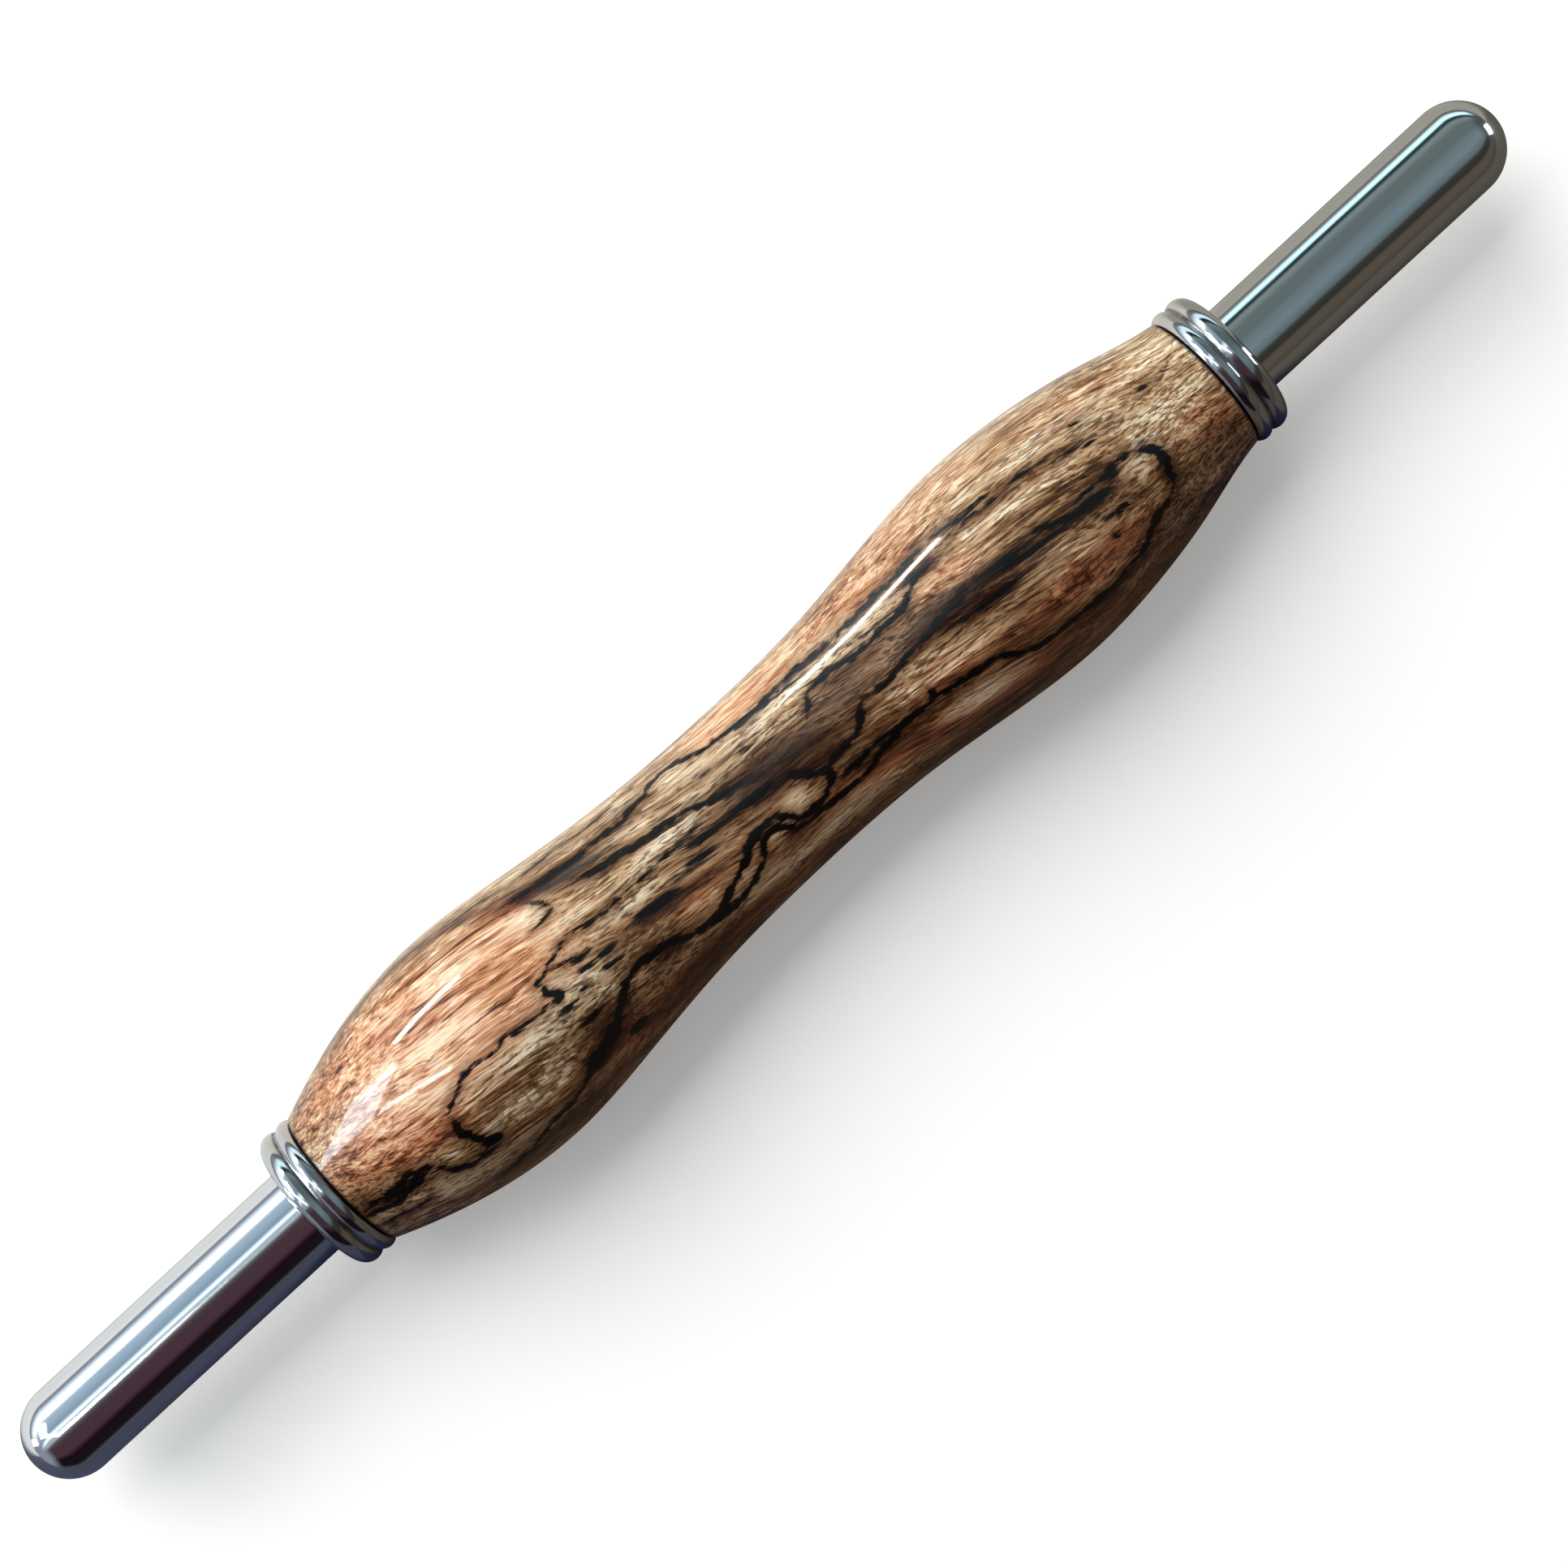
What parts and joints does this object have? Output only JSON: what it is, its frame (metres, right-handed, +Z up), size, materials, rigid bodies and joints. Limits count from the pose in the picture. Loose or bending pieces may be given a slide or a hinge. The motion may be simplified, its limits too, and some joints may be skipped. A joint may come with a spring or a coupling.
{
  "type": "clay modelling tool",
  "caption": "Double-ended clay modelling tool: turned spalted-wood handle, beaded chrome ferrules, and reversible round-nosed inserts that hide a needle and a ball stylus.",
  "frame": {"origin": "on the tool's axis, halfway between the two round noses", "axes": "+X along the tool towards the stylus end, +Z up, +Y completes the right-handed set; the tool is round, so Y and Z are alike"},
  "size_m": [0.1588, 0.02, 0.02],
  "materials": {
    "spalted_wood": "spalted hardwood, fine-sanded under a high-gloss clear finish",
    "chrome": "polished chrome plate with fine handling scratches",
    "brass": "plain turned brass, hidden inside",
    "rubber": "matt black nitrile rubber",
    "steel": "ground and polished stainless steel"
  },
  "bodies": {
    "handle": {"handle_body": "spalted_wood", "liner_tube": "brass", "needle_end_guide_bush": "brass", "stylus_end_guide_bush": "brass", "needle_end_ferrule_ring": "chrome", "stylus_end_ferrule_ring": "chrome"},
    "needle_o_ring": {"needle_end_o_ring": "rubber"},
    "needle_insert": {"needle_insert_rod": "chrome", "needle_insert_collar": "chrome", "needle": "steel"},
    "stylus_o_ring": {"stylus_end_o_ring": "rubber"},
    "stylus_insert": {"stylus_insert_rod": "chrome", "stylus_insert_collar": "chrome", "ball_stylus": "steel"}
  },
  "joints": [
    {"name": "needle_insert_turn", "type": "hinge", "parent": "handle", "child": "needle_o_ring", "pos_m": [-0.0474, 0, 0], "axis": [-1, 0, 0], "continuous": true},
    {"name": "needle_insert_pull", "type": "slide", "parent": "needle_o_ring", "child": "needle_insert", "axis": [-1, 0, 0], "range_m": [-0.0022, 0.043]},
    {"name": "stylus_insert_turn", "type": "hinge", "parent": "handle", "child": "stylus_o_ring", "pos_m": [0.0496, 0, 0], "axis": [1, 0, 0], "continuous": true},
    {"name": "stylus_insert_pull", "type": "slide", "parent": "stylus_o_ring", "child": "stylus_insert", "axis": [1, 0, 0], "range_m": [0, 0.0435]}
  ]
}
